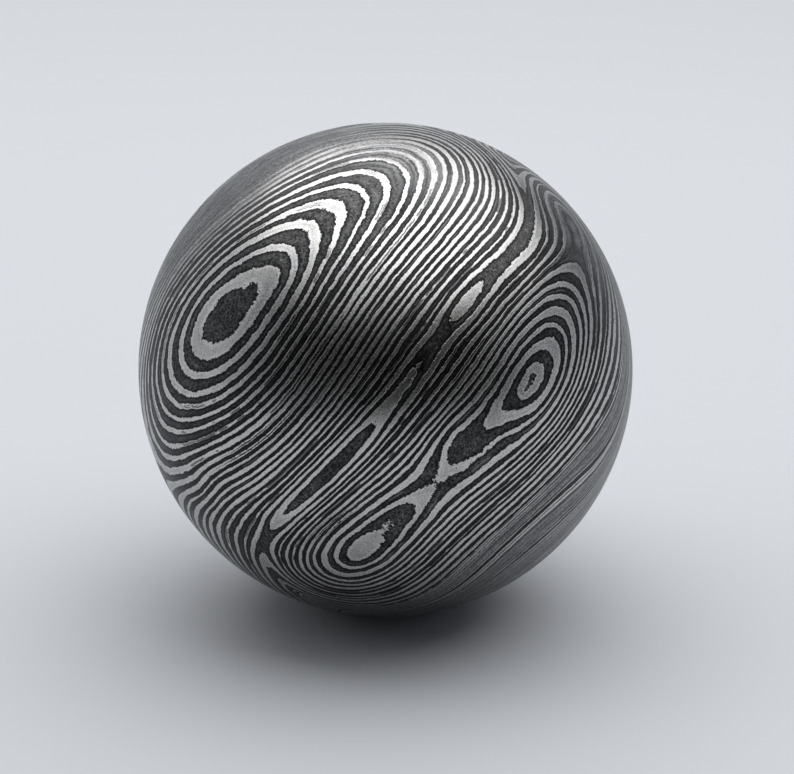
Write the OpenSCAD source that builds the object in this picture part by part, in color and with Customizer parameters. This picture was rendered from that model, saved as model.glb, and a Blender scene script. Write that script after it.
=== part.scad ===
// A solid ball of pattern-welded steel, forged and ground from one billet.
// Its bright and dark layers run all through it, welded into one piece, and
// meet the ground surface flush, so the ball is one true sphere.
// The origin is at the ball's centre. +Z is up, and -Y is the front.

/* [Ball] */
// Diameter of the ball
ball_d = 50; // [20:1:80]

/* [Quality] */
// Facets round the ball's equator
ball_facets = 96; // [48:8:160]

/* [Hidden] */

module ball() {
    color([0.46, 0.47, 0.48])
        sphere(d = ball_d, $fn = ball_facets);
}

ball();
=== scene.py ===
"""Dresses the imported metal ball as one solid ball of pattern-welded steel, on a pale studio floor.

The steel was forged from a stack of bright and dark layers, pressed out of true and ground to a sphere.
The grinding cuts the bent stack, so the surface shows the contour lines of the layers' height there.
The same happens here: a few swells give the height of the stack over the sphere, counted in layer pairs,
and the material draws a dark band round every whole number and a bright band between two of them.
Lengths are in metres and angles in degrees. Lon 0 faces the camera's side, -Y, and lat 90 is the top.
"""

import math

import bpy
import numpy as np
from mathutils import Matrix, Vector


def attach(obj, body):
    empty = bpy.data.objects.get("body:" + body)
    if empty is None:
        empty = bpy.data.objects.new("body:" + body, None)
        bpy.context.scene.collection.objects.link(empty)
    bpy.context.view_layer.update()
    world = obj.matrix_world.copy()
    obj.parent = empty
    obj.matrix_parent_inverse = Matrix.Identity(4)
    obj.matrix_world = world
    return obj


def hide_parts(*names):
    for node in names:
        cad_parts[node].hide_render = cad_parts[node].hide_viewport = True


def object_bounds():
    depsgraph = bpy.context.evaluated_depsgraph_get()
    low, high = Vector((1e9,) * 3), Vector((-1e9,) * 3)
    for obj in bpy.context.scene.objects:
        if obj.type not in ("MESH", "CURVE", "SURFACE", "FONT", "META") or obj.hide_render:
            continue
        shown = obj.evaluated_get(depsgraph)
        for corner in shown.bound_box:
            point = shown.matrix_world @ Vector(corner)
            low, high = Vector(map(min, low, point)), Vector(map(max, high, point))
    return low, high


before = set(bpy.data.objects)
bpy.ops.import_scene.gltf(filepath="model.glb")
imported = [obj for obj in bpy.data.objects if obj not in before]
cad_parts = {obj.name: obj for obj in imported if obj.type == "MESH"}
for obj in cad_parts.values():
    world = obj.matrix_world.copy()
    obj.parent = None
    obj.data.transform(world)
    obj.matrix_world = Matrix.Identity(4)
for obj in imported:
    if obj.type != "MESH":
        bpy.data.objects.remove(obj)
cad_low, cad_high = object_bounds()
CENTRE = (cad_low + cad_high) / 2
RADIUS = (cad_high.z - cad_low.z) / 2
MM = 0.001

# --- the ball's mesh -------------------------------------------------------------------------------
QUADS_ALONG_FACE = 128  # each of the six faces of the rounded cube has this many quads squared
ETCH_DEPTH = 0.02 * MM  # how far the acid ate the dark layers below the bright ones
WELD_STEPS = 1e6  # points that agree to one part in so many are joined
SLOPE_STEP = 0.002  # radii; how far to each side the height is taken to find its slope
POLAR_HEIGHT = 0.9  # radii; nearer to the poles the slope is measured from another axis
SMALLEST = 1e-12  # keeps a division off 0 at a swell's own peak
UV_NAME = "OFBake"
UV_COLUMNS = 3
UV_ROWS = 2
UV_GUTTER = 0.003  # bare edge round each of the six faces in the UV map

# --- the stack of layers ---------------------------------------------------------------------------
# Each swell is name: (lon, lat, reach along, reach across, lean of the long axis, height in layer pairs).
# These bend the whole stack. Where their sum passes through 0 the stack folds back on itself.
SWELLS = {
    "left_eye": (-45, 24, 33, 25, 52, 20.6),
    "crown_ridge": (6, 69, 24, 22, 0, 10.5),
    "upper_left_hollow": (-95, 45, 30, 30, 0, -2.0),
    "left_ridge": (-86, -35, 21, 27, 0, 10.5),
    "lower_left_hollow": (-45, -21, 14, 8, 45, -2.0),
    "upper_right_hollow": (30, 32, 28, 18, 40, -5.5),
    "right_eye": (37.5, 13.5, 21, 11, 46, -9.5),
    "middle_hollow": (11, -3, 18, 13, 41, -5.7),
    "low_eye": (-9, -26.5, 18, 12, 48, -10.7),
    "low_left_ridge": (-80, -65, 20, 24, 0, 11.0),
    "top_right_back": (90, 47, 15, 12, 60, -8.0),
    "crown_back": (100, 75, 15, 15, 0, 3.0),
    "bottom": (0, -75, 20, 20, 0, -3.0),
    "back_eye": (165, 8, 30, 19, -40, 17.0),
    "back_left_eye": (-148, -14, 26, 16, 50, -14.0),
    "back_low_eye": (168, -52, 24, 15, 10, 13.0),
    "back_high_left": (-150, 34, 17, 13, 20, 9.0),
    "back_right_eye": (128, 2, 13, 10, 60, -7.0),
    "back_crown": (175, 62, 24, 9, 0, 6.5),
    "back_left_ridge": (-111, 42, 20, 8, 80, 4.0),
}
# These are added after the fold: the stack falls away at the lower right and at the right edge.
RIGHT_FALLS = {
    "lower_right_fall": (60, -45, 45, 26, -45, -6.0),
    "right_edge_fall": (98, -48, 60, 20, 82, -18.0),
}
FOLD_WIDTH = 1.3  # pairs; how far the stack's fold is rounded where it turns back on itself
# small rises and dips near the fold, which make its dark and bright lenses
FOLD_SPOTS = {
    "dark_top": (36, 42, 9, 4, 35, 0.35),
    "bright_lens": (21, 34, 9, 4, 48, -0.1),
    "uneven_rise": (6, 19, 9, 5, 48, 0.7),
    "dark_lens": (-14, -4, 11, 5, 45, -0.95),
    "low_patch": (-25, -16, 5, 4, 45, -0.3),
    "low_dark": (-31, -25, 4, 3, 80, 0.3),
    "lens_end": (14, 27, 4, 4, 48, 0.45),
    "pale_top": (44, 38.5, 12, 2.5, 26, -0.8),
    "lens_low": (-19, -11, 5, 4, 48, -0.1),
    "lens_high": (-5, 3, 4, 3, 48, -0.1),
}
# small rises and dips in the eyes, in their tails and rings, and in the corner at the left edge
EYE_SPOTS = {
    "left_core": (-44, 25.5, 12, 9, 52, 0.28),
    "right_speck": (34, 14, 3, 1.5, 60, 0.36),
    "right_tail": (15, 3, 5, 4, 45, 0.3),
    "bridge": (9, -6, 6, 5, 45, -0.12),
    "low_tail": (4, -13, 5, 4, 45, 0.35),
    "low_core": (0, -17, 6, 4, 45, -0.3),
    "left_corner": (-48, -15, 5, 4, 30, 0.8),
    "left_tip": (-31, 39, 5, 4, 50, 0.4),
    "low_left_core": (-8, -25, 5, 4, 45, 0.1),
    "right_gap": (27, 4, 6, 3, 40, -0.8),
    "tail_rise": (13, 5.5, 6, 3, 50, 0.9),
    "ring_bottom": (24, 6.5, 2.5, 2.5, 45, 0.15),
}
FOLD_LEAN = 45  # the folds run up to the right on the camera's side
FINE_HEIGHTS = (-8.0, -1.0)  # pairs; between these heights the layers are thinner
FINE_TIMES = 3  # so many times thinner
# Between these heights, counted after the thinning, the layers are too thin to tell apart.
GREY_PACKS = ((-7.4, -2.4), (-13.6, -9.5), (-22.0, -14.4))
GREY_FADE_IN = 0.5  # pairs, from a grey pack's low end
GREY_FADE_OUT = 1.0  # pairs, to its high end
GREY_SHARE = 0.9
# Swells of a share, cut off at 1: where it is 1 the layers are too thin to tell apart.
FINE_SPOTS = {
    "upper_left_rim": (-87, 50, 15, 8, 97, 3.0),
    "upper_right_corner": (78, 38, 12, 7, 90, 0.8),
    "top_rim": (-40, 82, 20, 6, 0, 0.7),
}
# Swells of a share again: where it is 1 each bright layer is split in two.
SPLIT_SPOTS = {
    "left_beads": (-29, 2, 9, 1.1, 40, 1.6),
    "low_beads": (-13, -17, 5, 1.0, 42, 1.4),
}


def direction(lon, lat):
    """The unit vector from the ball's centre to a place on its surface."""
    lon, lat = math.radians(lon), math.radians(lat)
    return np.array([math.cos(lat) * math.sin(lon), -math.cos(lat) * math.cos(lon), math.sin(lat)])


def swell(places, lon, lat, along, across, lean, height):
    """A smooth rise or dip of the stack round one place, longer along its lean than across it."""
    peak = direction(lon, lat)
    east = np.array([math.cos(math.radians(lon)), math.sin(math.radians(lon)), 0.0])
    north = np.cross(peak, east)
    turn = math.radians(lean)
    long_axis = east * math.cos(turn) + north * math.sin(turn)
    short_axis = north * math.cos(turn) - east * math.sin(turn)
    nearness = np.clip(places @ peak, -1, 1)
    angle = np.degrees(np.arccos(nearness))
    spread = angle / np.sqrt(np.maximum(1 - nearness**2, SMALLEST))
    a = (places @ long_axis) * spread / along
    b = (places @ short_axis) * spread / across
    return height * np.exp(-0.5 * (a * a + b * b))


def rise(places, swells):
    """The sum of a table of swells."""
    return sum(swell(places, *shape) for shape in swells.values())


def layer_height(places):
    """The stack's height in layer pairs at unit vectors from the ball's centre."""
    folded = np.sqrt(rise(places, SWELLS) ** 2 + FOLD_WIDTH**2)
    level = folded + rise(places, {**RIGHT_FALLS, **FOLD_SPOTS, **EYE_SPOTS})
    low, high = FINE_HEIGHTS
    return level - (FINE_TIMES - 1) * np.clip(high - level, 0, high - low)


def layer_slope(places):
    """How many layer pairs the surface crosses in a millimetre."""
    far_from_poles = np.abs(places[:, 2:]) < POLAR_HEIGHT
    helper = np.where(far_from_poles, [[0.0, 0.0, 1.0]], [[1.0, 0.0, 0.0]])
    first = np.cross(places, helper)
    first /= np.linalg.norm(first, axis=1, keepdims=True)
    second = np.cross(places, first)
    rises = []
    for side in (first, second):
        ahead = places + side * SLOPE_STEP
        behind = places - side * SLOPE_STEP
        ahead /= np.linalg.norm(ahead, axis=1, keepdims=True)
        behind /= np.linalg.norm(behind, axis=1, keepdims=True)
        rises.append((layer_height(ahead) - layer_height(behind)) / (2 * SLOPE_STEP))
    return np.hypot(*rises) / (RADIUS / MM)


def rounded_cube():
    """Unit vectors, quads and UVs of a cube blown up to a sphere; the UVs lay its faces side by side."""
    count = QUADS_ALONG_FACE
    ticks = np.linspace(-1, 1, count + 1)
    bow = np.tan(ticks * math.pi / 4)  # equal angles seen from the centre, so the quads are near one size
    u, v = np.meshgrid(bow, bow)
    ones = np.ones_like(u)
    sides = [(ones, u, v), (-ones, -u, v), (-u, ones, v), (u, -ones, v), (-v, u, ones), (v, u, -ones)]
    places, quads, maps = [], [], []
    corner = np.arange(count)[:, None] * (count + 1) + np.arange(count)[None, :]
    quad = np.stack([corner, corner + 1, corner + count + 2, corner + count + 1], -1).reshape(-1, 4)
    flat_u, flat_v = np.meshgrid((ticks + 1) / 2, (ticks + 1) / 2)
    for index, side in enumerate(sides):
        places.append(np.stack(side, -1).reshape(-1, 3))
        quads.append(quad + index * (count + 1) ** 2)
        cell = np.array([index % UV_COLUMNS / UV_COLUMNS, index // UV_COLUMNS / UV_ROWS])
        span = np.array([1 / UV_COLUMNS, 1 / UV_ROWS]) - 2 * UV_GUTTER
        maps.append(cell + UV_GUTTER + np.stack([flat_u, flat_v], -1).reshape(-1, 2) * span)
    places, quads, maps = np.concatenate(places), np.concatenate(quads), np.concatenate(maps)
    corner_maps = maps[quads.reshape(-1)]
    keys = np.round(places * WELD_STEPS).astype(np.int64)
    _, first, joined = np.unique(keys, axis=0, return_index=True, return_inverse=True)
    places = places[first]
    places /= np.linalg.norm(places, axis=1, keepdims=True)
    return places, joined.reshape(-1)[quads], corner_maps


def store(mesh, name, values):
    """Keeps one number for each vertex, for the material to read."""
    mesh.attributes.new(name, "FLOAT", "POINT").data.foreach_set("value", values.astype(np.float32))


def ball_mesh():
    """The ball's smooth mesh, with what the material needs to know at each point."""
    places, quads, corner_maps = rounded_cube()
    mesh = bpy.data.meshes.new("layered_ball")
    mesh.from_pydata((places * RADIUS + np.array(CENTRE)).tolist(), [], quads.tolist())
    mesh.uv_layers.new(name=UV_NAME).data.foreach_set("uv", corner_maps.astype(np.float32).reshape(-1))
    store(mesh, "layer_height", layer_height(places))
    store(mesh, "layer_slope", layer_slope(places))
    store(mesh, "fine_share", np.minimum(rise(places, FINE_SPOTS), 1))
    store(mesh, "split_share", np.minimum(rise(places, SPLIT_SPOTS), 1))
    mesh.polygons.foreach_set("use_smooth", [True] * len(mesh.polygons))
    mesh.update()
    return mesh


class Wiring:
    """Adds nodes to one node tree and links them, so that a formula reads as a formula."""

    def __init__(self, tree):
        self.tree = tree

    def node(self, kind, **settings):
        node = self.tree.nodes.new(kind)
        for name, value in settings.items():
            setattr(node, name, value)
        return node

    def feed(self, socket, value):
        if isinstance(value, bpy.types.NodeSocket):
            self.tree.links.new(value, socket)
        else:
            socket.default_value = value

    def math(self, operation, *values, clamp=False):
        node = self.node("ShaderNodeMath", operation=operation, use_clamp=clamp)
        for socket, value in zip(node.inputs, values):
            self.feed(socket, value)
        return node.outputs[0]

    def add(self, a, b):
        return self.math("ADD", a, b)

    def less(self, a, b):
        return self.math("SUBTRACT", a, b)

    def times(self, a, b):
        return self.math("MULTIPLY", a, b)

    def over(self, a, b):
        return self.math("DIVIDE", a, b)

    def lowest(self, a, b):
        return self.math("MINIMUM", a, b)

    def highest(self, a, b):
        return self.math("MAXIMUM", a, b)

    def attribute(self, name):
        return self.node("ShaderNodeAttribute", attribute_name=name).outputs["Fac"]

    def between(self, value, low, high, to_low=0.0, to_high=1.0, smooth=False):
        """Maps low..high to to_low..to_high and clamps outside."""
        node = self.node("ShaderNodeMapRange", clamp=True)
        node.interpolation_type = "SMOOTHSTEP" if smooth else "LINEAR"
        names = ("Value", "From Min", "From Max", "To Min", "To Max")
        for name, number in zip(names, (value, low, high, to_low, to_high)):
            self.feed(node.inputs[name], number)
        return node.outputs["Result"]

    def noise(self, name, place, shift=None):
        """One of the NOISES, smooth round 0 from about -0.5 to 0.5; another shift gives other blots."""
        per_mm, detail, roughness, own_shift = NOISES[name]
        node = self.node("ShaderNodeTexNoise", noise_dimensions="4D")
        self.feed(node.inputs["Vector"], place)
        self.feed(node.inputs["W"], own_shift if shift is None else shift)
        self.feed(node.inputs["Scale"], per_mm / MM)
        self.feed(node.inputs["Detail"], detail)
        self.feed(node.inputs["Roughness"], roughness)
        return self.less(node.outputs["Fac"], 0.5)

    def layered_noise(self, name, place, level, per_pair):
        """One of the NOISES drawn out along the layers, with so many features in a layer pair."""
        per_mm = NOISES[name][0]
        return self.noise(name, place, self.times(level, per_pair * MM / per_mm))

    def sum_of(self, textures, weights):
        """The sum of some textures, each times its weight."""
        total = None
        for name, weight in weights.items():
            part = self.times(textures[name], weight)
            total = part if total is None else self.add(total, part)
        return total

    def dice(self, number, seed):
        """The same random number from 0 to 1 each time for the same whole number."""
        node = self.node("ShaderNodeTexWhiteNoise", noise_dimensions="2D")
        pair = self.node("ShaderNodeCombineXYZ")
        self.feed(pair.inputs[0], number)
        self.feed(pair.inputs[1], seed)
        self.feed(node.inputs["Vector"], pair.outputs[0])
        return node.outputs["Value"]

    def blend(self, share, a, b):
        """A colour share of the way from a to b."""
        node = self.node("ShaderNodeMix", data_type="RGBA")
        self.feed(node.inputs[0], share)
        self.feed(node.inputs[6], a)
        self.feed(node.inputs[7], b)
        return node.outputs[2]

    def scaled(self, colour, factor):
        """A colour made lighter or darker by a factor."""
        node = self.node("ShaderNodeVectorMath", operation="SCALE")
        node.inputs[0].default_value = colour
        self.feed(node.inputs["Scale"], factor)
        return node.outputs[0]


# --- the steel -------------------------------------------------------------------------------------
# Colours are reflectances. Layers are numbered by their height in pairs: dark ones at the whole numbers.
BRIGHT_STEEL = (0.500, 0.490, 0.478)
DARK_STEEL = (0.056, 0.056, 0.056)
# the blackest steel: the colour of the dark lines, pits and specks, and of the painted shade at a dark
# layer's etched edges
BLACK_MARKS_AND_EDGE_SHADE = (0.013, 0.013, 0.014, 1.0)
HAIR_STEEL = (0.20, 0.20, 0.20, 1.0)
# the colour of the painted sheen on the dark steel at grazing views
PAINTED_RIM_SHEEN = (0.16, 0.16, 0.16, 1.0)
FINE_PALE = (0.42, 0.42, 0.42, 1.0)
FINE_DARK = (0.090, 0.090, 0.090, 1.0)
FINE_STRAY = (0.50, 0.49, 0.48, 1.0)
EDGE_TINT = (0.80, 0.80, 0.81, 1.0)  # how much of the light a grazing view still sees
BRIGHT_ROUGHNESS = 0.28
DARK_ROUGHNESS = 0.38
ROUGHNESS_GRAIN = 0.15
RELIEF_GRAIN = 0.3  # of the etching's depth

# name: (features in a millimetre, detail, roughness, shift); a shift that the layers give replaces the 0
NOISES = {
    "slow": (0.12, 1.0, 0.5, 0.0),
    "waves": (0.7, 2.0, 0.5, 3.0),
    "stroke": (1.6, 2.0, 0.6, 5.0),
    "ragged": (2.8, 3.0, 0.7, 7.0),
    "patch": (0.17, 1.0, 0.5, 9.0),
    "speck": (4.5, 2.0, 0.7, 11.0),
    "cloud": (0.9, 3.0, 0.6, 13.0),
    "grain": (6.0, 2.0, 0.7, 17.0),
    "thickness": (0.16, 2.0, 0.6, 0.0),
    "hair_breaks": (0.3, 2.0, 0.6, 0.0),
    "split_breaks": (1.1, 0.0, 0.5, 0.0),
    "streak": (0.35, 3.0, 0.6, 0.0),
    "stray": (0.04, 1.0, 0.5, 0.0),
}

# How far the noises may shift the layers: in pairs, or in mm along the surface where that is less.
LEAST_SLOPE = 0.04  # pairs in a mm; a flatter cut counts as this one
SLOW_PAIRS = 0.3
WAVES_MM = 2.0
WAVES_PAIRS = 0.3
RAGGED_MM = 1.2
RAGGED_FLAT_PAIRS = 0.08  # what is left of it where the layers are cut flat
RAGGED_PAIRS = 0.34
TEAR_MM = 0.7
TEAR_PAIRS = 0.2
TEAR_SLOPES = (0.3, 0.6)  # pairs in a mm, over which the tears end
TEAR_LENGTH = 6.0  # times their width
STROKE_EDGE = (0.02, 0.14)  # of the noise, over which a stroke comes in, and next a patch of them
PATCH_EDGE = (0.0, 0.06)

# The thickness of the layers. Some are given and the others draw theirs by lot.
REACH_ABOVE = {
    -14: 0.35,
    -9: 0.12,
    -8: 0.48,
    0: 0.30,
    1: 0.40,
    2: 0.38,
    9: 0.40,
    10: 0.24,
    11: 0.30,
}
REACH_BELOW = {
    -14: 0.35,
    -9: 0.12,
    -8: 0.48,
    1: 0.14,
    2: 0.12,
    10: 0.30,
    11: 0.22,
    21: 0.24,
}
REACH_BY_LOT = (0.20, 0.40)  # pairs
REACH_UNEVEN = 0.35  # pairs
LEAST_REACH = 0.06  # pairs
SAME_LAYER = 0.1  # two numbers that differ by less are one layer's
REACH_SHIFT = 3.7  # from one layer's noise to the next one's
ABOVE_SEED = 1.0
BELOW_SEED = 2.0
EDGE_SOFTNESS = 0.06  # mm over which a bright band turns into a dark one

# thin broken lines of the other steel, within a layer
HAIR_SHARE = 0.25  # of the layers have one
DARK_HAIR_SEED = 3.0
PALE_HAIR_SEED = 6.0
HAIR_OFFSET = 0.08  # pairs from the layer's middle at the most
DOUBLE_HAIRS = 0.5  # so many of them are double
HALF_DOUBLE = 0.055  # pairs between the two lines of a double one, halved
HAIR_LEAST_SLOPE = 0.1
HAIR_EDGE = (0.03, 0.06)  # mm from its middle
HAIR_BREAKS = (0.0, 0.03)
HAIR_SHIFT = 2.3  # from one layer's noise to the next one's
DARK_HAIR_STRENGTH = 0.85
SPLIT_EDGE = (0.04, 0.08)  # mm from its middle
SPLIT_BREAKS = (0.012, 0.024)
SPLIT_SHIFT = 5.3  # from one layer's noise to the next one's

# textures within the layers: what they are made of, and where they begin and are whole
STREAKS_PER_PAIR = 5.0
DARK_MOTTLE = {"speck": 6.0, "cloud": 1.8, "streak": 1.4}
LEAST_MOTTLE = 0.3
EDGE_SHADE_DEPTH = (0.03, 0.42)  # mm inside a dark layer, from its blackest edge, where shade of the etched step is painted, to its greyest middle
CRUMBS = {"speck": 1.0, "cloud": 0.9}
CRUMB_EDGE = (0.16, 0.22)
CRUMB_SLOPES = (0.15, 0.45)  # pairs in a mm, over which the crumbs end
CRUMB_STRENGTH = 0.8
RIM_SHEEN_TURN = (0.70, 1.0)  # Layer Weight's Facing, over which a painted sheen lightens the dark steel's colour at grazing views
RIM_SHEEN_STRENGTH = 0.45
BRIGHT_SHADE = {"grain": 1.3, "streak": 0.6, "cloud": 0.4}
BRIGHT_GLINT_DEPTH = (-0.45, -0.12)  # mm inside a bright layer, counted below 0, from its middle to its edge, over which a painted glint lightens it
BRIGHT_GLINT_LEVELS = (0.84, 1.10)  # its shade there, times BRIGHT_STEEL: duller in the middle and lighter at the edge as a painted glint
PITS = {"speck": 1.0, "cloud": 0.6}
PIT_EDGE = (0.24, 0.28)
PIT_STRENGTH = 0.8

# packs of layers too thin to tell apart
THIN_LAYERS_PER_PAIR = 3.0
THIN_LAYERS_UNEVEN = 1.5
THIN_EDGE = (0.1, 0.4)
STRAYS_PER_PAIR = 1.2
PALE_STRAYS = (0.08, 0.12)
PALE_STRAY_STRENGTH = 0.7
DARK_STRAYS = (-0.15, -0.10)
DARK_STRAY_STRENGTH = 0.6
FINE_SPECKS = {"speck": 1.0, "grain": 0.5}
FINE_SPECK_EDGE = (-0.05, 0.15)
FINE_SPECK_STRENGTH = 0.75
FINE_CORE = (0.85, 1.0)  # of fine_share, over which a fine spot gets darker and plainer
FINE_CORE_STRENGTH = 0.35


def shaken_level(w, place, slope):
    """The stack's height in layer pairs, uneven at several scales; the finer, the less it may shift."""
    slow = w.times(w.noise("slow", place), SLOW_PAIRS)
    waves = w.times(w.noise("waves", place), w.lowest(w.times(slope, WAVES_MM), WAVES_PAIRS))
    ragged_reach = w.lowest(w.add(w.times(slope, RAGGED_MM), RAGGED_FLAT_PAIRS), RAGGED_PAIRS)
    ragged = w.times(w.noise("ragged", place), ragged_reach)
    level = w.add(w.add(w.attribute("layer_height"), slow), w.add(waves, ragged))
    return w.add(level, tear(w, place, slope))


def tear(w, place, slope):
    """Short strokes across the layers, in patches, where the surface cuts them almost flat."""
    stretched = w.node("ShaderNodeMapping", vector_type="TEXTURE")
    stretched.inputs["Rotation"].default_value = (0.0, math.radians(-FOLD_LEAN), 0.0)
    stretched.inputs["Scale"].default_value = (1.0, TEAR_LENGTH, TEAR_LENGTH)
    w.feed(stretched.inputs["Vector"], place)
    stroke = w.between(w.noise("stroke", stretched.outputs[0]), *STROKE_EDGE)
    patch = w.between(w.noise("patch", place), *PATCH_EDGE)
    most = w.between(slope, *TEAR_SLOPES, TEAR_PAIRS, 0.0)
    return w.times(w.times(stroke, patch), w.lowest(w.times(slope, TEAR_MM), most))


def layer_reach(w, place, number, seed, given):
    """How far a dark layer reaches from its middle, in pairs: its own thickness, and uneven along it."""
    own = w.between(w.dice(number, seed), 0.0, 1.0, *REACH_BY_LOT)
    for layer, reach in given.items():
        this_one = w.math("COMPARE", number, float(layer), SAME_LAYER)
        own = w.add(own, w.times(this_one, w.less(reach, own)))
    uneven = w.noise("thickness", place, w.add(w.times(number, REACH_SHIFT), seed))
    return w.highest(w.add(own, w.times(uneven, REACH_UNEVEN)), LEAST_REACH)


def hairline(w, place, slope, number, offset, seed):
    """A thin broken line that runs along some of the layers, off their middle; 0 to 1."""
    middle = w.between(w.dice(number, seed), 0.0, 1.0, -HAIR_OFFSET, HAIR_OFFSET)
    chosen = w.math("LESS_THAN", w.dice(number, seed + 1.0), HAIR_SHARE)
    doubled = w.times(w.math("GREATER_THAN", w.dice(number, seed + 2.0), DOUBLE_HAIRS), HALF_DOUBLE)
    breaks = w.noise("hair_breaks", place, w.add(w.times(number, HAIR_SHIFT), seed))
    away = w.math("ABSOLUTE", w.less(w.math("ABSOLUTE", w.less(offset, middle)), doubled))
    line = w.between(w.over(away, w.highest(slope, HAIR_LEAST_SLOPE)), *HAIR_EDGE, 1.0, 0.0)
    return w.times(w.times(line, chosen), w.between(breaks, *HAIR_BREAKS))


def split_line(w, place, slope, number, offset):
    """Where a bright layer is split in two by a dark hairline and broken into dashes; 0 to 1."""
    line = w.between(w.over(w.math("ABSOLUTE", offset), slope), *SPLIT_EDGE, 1.0, 0.0)
    breaks = w.math("ABSOLUTE", w.noise("split_breaks", place, w.times(number, SPLIT_SHIFT)))
    broken = w.between(breaks, *SPLIT_BREAKS, 1.0, 0.0)
    return w.times(w.attribute("split_share"), w.highest(line, broken))


def packed_share(w, level):
    """1 where the layers lie in a pack too thin to tell apart, and 0 elsewhere."""
    share = w.attribute("fine_share")
    for low, high in GREY_PACKS:
        above_low = w.between(level, low, low + GREY_FADE_IN)
        below_high = w.between(level, high - GREY_FADE_OUT, high, 1.0, 0.0)
        share = w.highest(share, w.times(w.times(above_low, below_high), GREY_SHARE))
    return share


def dark_layer(w, textures, slope, inside, hair):
    """Etched steel, mottled, crumbly and greyer in a layer's middle; painted shade makes it nearly black
    at the etched edges, and a painted sheen lightens it at grazing views.
    """
    # painted shade: the dark layer is blackest at its etched edges and greyer further in
    depth = w.between(inside, *EDGE_SHADE_DEPTH, smooth=True)
    mottle = w.highest(w.add(w.sum_of(textures, DARK_MOTTLE), 1.0), LEAST_MOTTLE)
    colour = w.blend(depth, BLACK_MARKS_AND_EDGE_SHADE, w.scaled(DARK_STEEL, mottle))
    crumb = w.between(w.sum_of(textures, CRUMBS), *CRUMB_EDGE)
    crumb = w.times(crumb, w.between(slope, *CRUMB_SLOPES, CRUMB_STRENGTH, 0.0))
    colour = w.blend(w.times(w.highest(hair, crumb), depth), colour, HAIR_STEEL)
    # painted sheen: the colour turns lighter where the surface is seen at a grazing angle
    rim = w.node("ShaderNodeLayerWeight").outputs["Facing"]
    return w.blend(w.between(rim, *RIM_SHEEN_TURN, 0.0, RIM_SHEEN_STRENGTH), colour, PAINTED_RIM_SHEEN)


def bright_layer(w, textures, inside, hair, split):
    """Brushed steel with streaks, pits and the dark lines that break it, and a painted glint that makes a
    layer lighter at its edges.
    """
    # grain, streaks and clouds, plus a painted glint toward the layer's edges
    shade = w.add(w.sum_of(textures, BRIGHT_SHADE), w.between(inside, *BRIGHT_GLINT_DEPTH, *BRIGHT_GLINT_LEVELS))
    pit = w.between(w.sum_of(textures, PITS), *PIT_EDGE)
    broken = w.highest(w.times(hair, DARK_HAIR_STRENGTH), w.times(pit, PIT_STRENGTH))
    return w.blend(w.highest(broken, split), w.scaled(BRIGHT_STEEL, shade), BLACK_MARKS_AND_EDGE_SHADE)


def fine_pack(w, place, textures, level):
    """Layers too thin to tell apart: faint lines, a few stray thicker ones and specks."""
    uneven = w.times(textures["streak"], THIN_LAYERS_UNEVEN)
    thin = w.math("PINGPONG", w.add(w.times(level, THIN_LAYERS_PER_PAIR), uneven), 0.5)
    colour = w.blend(w.between(thin, *THIN_EDGE), FINE_DARK, FINE_PALE)
    stray = w.layered_noise("stray", place, level, STRAYS_PER_PAIR)
    pale = w.times(w.between(stray, *PALE_STRAYS), PALE_STRAY_STRENGTH)
    colour = w.blend(pale, colour, FINE_STRAY)
    dark = w.times(w.between(stray, *DARK_STRAYS, 1.0, 0.0), DARK_STRAY_STRENGTH)
    colour = w.blend(dark, colour, BLACK_MARKS_AND_EDGE_SHADE)
    specks = w.between(w.sum_of(textures, FINE_SPECKS), *FINE_SPECK_EDGE, 0.0, FINE_SPECK_STRENGTH)
    colour = w.blend(specks, colour, BLACK_MARKS_AND_EDGE_SHADE)
    core = w.between(w.attribute("fine_share"), *FINE_CORE, 0.0, FINE_CORE_STRENGTH)
    return w.blend(core, colour, FINE_DARK)


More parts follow.
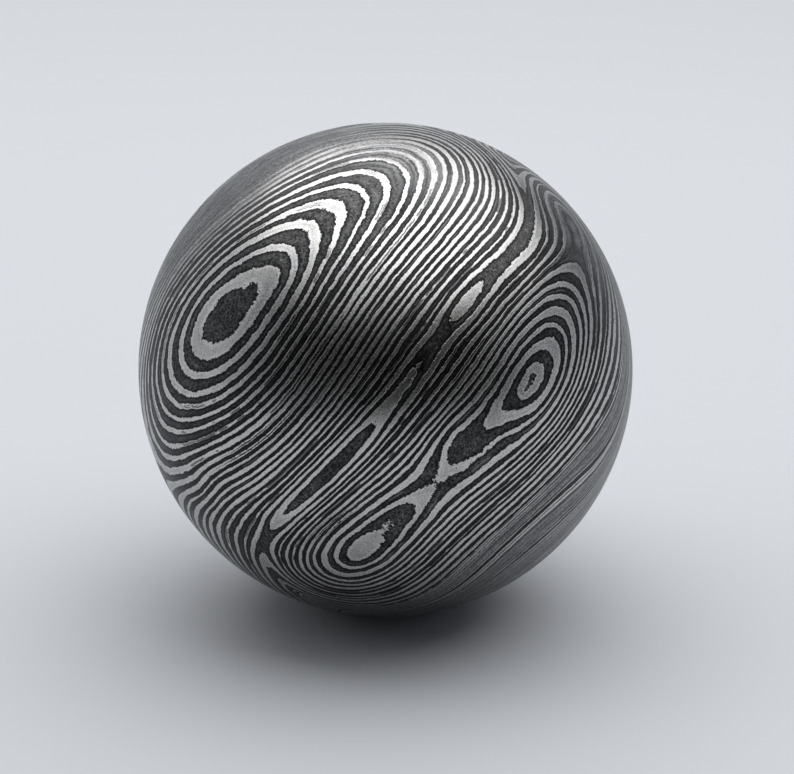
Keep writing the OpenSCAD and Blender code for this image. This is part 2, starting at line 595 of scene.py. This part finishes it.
def steel_material():
    """The layered steel, drawn from the height and slope of the layers at each place."""
    material = bpy.data.materials.new("layered_steel")
    material.use_nodes = True
    material.node_tree.nodes.clear()
    w = Wiring(material.node_tree)
    place = w.node("ShaderNodeTexCoord").outputs["Object"]
    slope = w.highest(w.attribute("layer_slope"), LEAST_SLOPE)
    level = shaken_level(w, place, slope)

    # the nearest dark layer and the bright layer here, and the height above the middle of each, in pairs
    dark_number = w.math("ROUND", level)
    dark_offset = w.less(level, dark_number)
    bright_number = w.math("FLOOR", level)
    bright_offset = w.less(w.less(level, bright_number), 0.5)

    # how far inside the dark layer's edge this place is, in mm; below 0 it lies in the bright one
    above = w.less(layer_reach(w, place, dark_number, ABOVE_SEED, REACH_ABOVE), dark_offset)
    below = w.add(layer_reach(w, place, dark_number, BELOW_SEED, REACH_BELOW), dark_offset)
    inside = w.over(w.lowest(above, below), slope)
    dark = w.between(inside, -0.5 * EDGE_SOFTNESS, 0.5 * EDGE_SOFTNESS)

    dark_hair = hairline(w, place, slope, bright_number, bright_offset, DARK_HAIR_SEED)
    pale_hair = hairline(w, place, slope, dark_number, dark_offset, PALE_HAIR_SEED)
    split = split_line(w, place, slope, bright_number, bright_offset)

    textures = {name: w.noise(name, place) for name in ("speck", "cloud", "grain")}
    textures["streak"] = w.layered_noise("streak", place, level, STREAKS_PER_PAIR)

    bright_colour = bright_layer(w, textures, inside, dark_hair, split)
    colour = w.blend(dark, bright_colour, dark_layer(w, textures, slope, inside, pale_hair))
    colour = w.blend(packed_share(w, level), colour, fine_pack(w, place, textures, level))

    satin = w.between(dark, 0.0, 1.0, BRIGHT_ROUGHNESS, DARK_ROUGHNESS)
    roughness = w.add(satin, w.times(textures["grain"], ROUGHNESS_GRAIN))

    tooth = w.times(w.add(textures["grain"], textures["speck"]), RELIEF_GRAIN)
    bump = w.node("ShaderNodeBump")
    bump.inputs["Distance"].default_value = ETCH_DEPTH
    bump.inputs["Strength"].default_value = 1.0
    w.feed(bump.inputs["Height"], w.add(w.less(1.0, dark), tooth))

    shader = w.node("ShaderNodeBsdfPrincipled")
    w.feed(shader.inputs["Base Color"], colour)
    w.feed(shader.inputs["Roughness"], roughness)
    w.feed(shader.inputs["Normal"], bump.outputs[0])
    shader.inputs["Metallic"].default_value = 1.0
    shader.inputs["Specular Tint"].default_value = EDGE_TINT
    output = w.node("ShaderNodeOutputMaterial")
    w.feed(output.inputs["Surface"], shader.outputs[0])
    return material


def make_ball():
    """The one piece of the scene that is the object itself."""
    ball = bpy.data.objects.new("layered_ball", ball_mesh())
    bpy.context.collection.objects.link(ball)
    ball.data.materials.append(steel_material())
    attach(ball, "root")
    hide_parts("ball")


# --- the studio ------------------------------------------------------------------------------------
BACKDROP_COLOUR = (0.65, 0.67, 0.70, 1.0)
FLOOR_COLOUR = (0.62, 0.64, 0.67, 1.0)
PAPER_ROUGHNESS = 0.9
FLOOR_HALF_WIDTH = 4.0
FLOOR_FADE = (0.15, 0.40)  # from this far to that far from the ball the lit floor turns into backdrop
AMBIENT = 0.38  # the backdrop's strength as light; to the camera and to mirrors it is 1


def give_paper(mesh, name, colour):
    """Dull paper of one colour, whose nodes the caller may add to."""
    material = bpy.data.materials.new(name)
    material.use_nodes = True
    shader = material.node_tree.nodes["Principled BSDF"]
    shader.inputs["Base Color"].default_value = colour
    shader.inputs["Roughness"].default_value = PAPER_ROUGHNESS
    shader.inputs["Specular IOR Level"].default_value = 0.0
    mesh.materials.append(material)
    return material


def add_to_stage(name, points, quads):
    """An object of the studio, which isn't part of the ball."""
    mesh = bpy.data.meshes.new(name)
    mesh.from_pydata(points, [], quads)
    piece = bpy.data.objects.new(name, mesh)
    bpy.context.collection.objects.link(piece)
    return piece


def seen_by_camera_and_mirrors(w):
    """1 for rays from the camera, from a glossy surface or through glass, and 0 for the rest."""
    path = w.node("ShaderNodeLightPath")
    mirrors = w.add(path.outputs["Is Glossy Ray"], path.outputs["Is Transmission Ray"])
    return w.math("ADD", path.outputs["Is Camera Ray"], mirrors, clamp=True)


def make_floor():
    """A pale paper floor that turns into the backdrop's own colour far from the ball."""
    half = FLOOR_HALF_WIDTH
    corners = [(-half, -half, 0), (half, -half, 0), (half, half, 0), (-half, half, 0)]
    floor = add_to_stage("floor", corners, [(0, 1, 2, 3)])
    floor.location.z = cad_low.z
    material = give_paper(floor.data, "floor_paper", FLOOR_COLOUR)
    w = Wiring(material.node_tree)
    nodes = material.node_tree.nodes
    place = w.node("ShaderNodeTexCoord").outputs["Object"]
    reach = w.node("ShaderNodeVectorMath", operation="LENGTH")
    w.feed(reach.inputs[0], place)
    far = w.between(reach.outputs["Value"], *FLOOR_FADE, smooth=True)
    backdrop = w.node("ShaderNodeEmission")
    backdrop.inputs["Color"].default_value = BACKDROP_COLOUR
    mix = w.node("ShaderNodeMixShader")
    w.feed(mix.inputs[0], w.times(far, seen_by_camera_and_mirrors(w)))
    w.feed(mix.inputs[1], nodes["Principled BSDF"].outputs[0])
    w.feed(mix.inputs[2], backdrop.outputs[0])
    w.feed(nodes["Material Output"].inputs["Surface"], mix.outputs[0])


WALL_RADIUS = 0.6
WALL_SPAN = (-80, 150)  # degrees from the camera's side, to the left and to the right
WALL_TOP = 0.6
WALL_POSTS = 47  # points along its foot
WALL_PALE = (0.65, 0.67, 0.70, 1.0)
WALL_DARK = (0.012, 0.012, 0.012, 1.0)
DARK_HALF_TURN = (45, 80)  # degrees from the camera's side over which the wall turns from dark to pale


def make_wall():
    """A curved wall unseen by the camera: dark on the camera's side and pale further round."""
    turns = np.radians(np.linspace(*WALL_SPAN, WALL_POSTS))
    foot = [(WALL_RADIUS * math.sin(turn), -WALL_RADIUS * math.cos(turn)) for turn in turns]
    points = [(x, y, z) for x, y in foot for z in (cad_low.z, WALL_TOP)]
    quads = [(2 * i, 2 * i + 2, 2 * i + 3, 2 * i + 1) for i in range(len(foot) - 1)]
    wall = add_to_stage("studio_wall", points, quads)
    wall.visible_camera = False
    material = give_paper(wall.data, "wall_paper", WALL_PALE)
    w = Wiring(material.node_tree)
    place = w.node("ShaderNodeTexCoord").outputs["Object"]
    toward_back = w.node("ShaderNodeSeparateXYZ")
    w.feed(toward_back.inputs[0], place)
    near, far = (-WALL_RADIUS * math.cos(math.radians(turn)) for turn in DARK_HALF_TURN)
    pale = w.between(toward_back.outputs["Y"], near, far, smooth=True)
    shader = material.node_tree.nodes["Principled BSDF"]
    w.feed(shader.inputs["Base Color"], w.blend(pale, WALL_DARK, WALL_PALE))


SOFTBOX_SIZE = (1.1, 0.8)
SOFTBOX_HEIGHT = 0.5
SOFTBOX_LEAN = (8, 15)  # degrees from straight above, to the right and away from the camera
SOFTBOX_WATTS = 3.5
SOFTBOX_SPREAD = 140  # degrees of its cone of light; a bare panel has 180


def make_softbox():
    """One large soft lamp overhead, a little behind the ball and to its right."""
    light = bpy.data.lights.new("softbox", "AREA")
    light.shape = "RECTANGLE"
    light.size, light.size_y = SOFTBOX_SIZE
    light.energy = SOFTBOX_WATTS
    light.spread = math.radians(SOFTBOX_SPREAD)
    lamp = bpy.data.objects.new("softbox", light)
    bpy.context.collection.objects.link(lamp)
    right, back = (math.tan(math.radians(lean)) for lean in SOFTBOX_LEAN)
    away = Vector((right, back, 1)).normalized()
    lamp.location = away * SOFTBOX_HEIGHT
    lamp.rotation_euler = away.to_track_quat("Z", "Y").to_euler()


FILL_SIZE = 0.5  # along each side of its square
FILL_PLACE = (-0.45, -0.10, 0.40)
FILL_WATTS = 0.4


def make_fill():
    """A weak lamp on the left that lifts the floor's shadow and doesn't show in the steel."""
    light = bpy.data.lights.new("fill", "AREA")
    light.size = FILL_SIZE
    light.energy = FILL_WATTS
    lamp = bpy.data.objects.new("fill", light)
    bpy.context.collection.objects.link(lamp)
    lamp.visible_glossy = False
    lamp.location = FILL_PLACE
    lamp.rotation_euler = Vector(FILL_PLACE).to_track_quat("Z", "Y").to_euler()


def make_world():
    """Even light from all round, with the backdrop's colour for the camera and in the steel."""
    world = bpy.data.worlds.new("studio")
    bpy.context.scene.world = world
    world.use_nodes = True
    w = Wiring(world.node_tree)
    background = world.node_tree.nodes["Background"]
    background.inputs["Color"].default_value = BACKDROP_COLOUR
    strength = w.between(seen_by_camera_and_mirrors(w), 0.0, 1.0, AMBIENT, 1.0)
    w.feed(background.inputs["Strength"], strength)


CAMERA_ELEVATION = 20
CAMERA_DISTANCE = 12 * RADIUS
CAMERA_LENS = 134.0  # mm
CAMERA_SHIFT = (0.0145, -0.0218)
CAMERA_CLIP = (0.01, 20.0)


def make_camera():
    """A long lens in front of the ball and a little above it."""
    data = bpy.data.cameras.new("camera")
    data.lens = CAMERA_LENS
    data.shift_x, data.shift_y = CAMERA_SHIFT
    data.clip_start, data.clip_end = CAMERA_CLIP
    camera = bpy.data.objects.new("camera", data)
    bpy.context.collection.objects.link(camera)
    away = Vector(direction(0, CAMERA_ELEVATION))
    camera.location = CENTRE + away * CAMERA_DISTANCE
    camera.rotation_euler = (-away).to_track_quat("-Z", "Y").to_euler()
    bpy.context.scene.camera = camera


make_camera()
make_ball()
make_floor()
make_wall()
make_softbox()
make_fill()
make_world()
bpy.context.scene.view_settings.view_transform = "Standard"
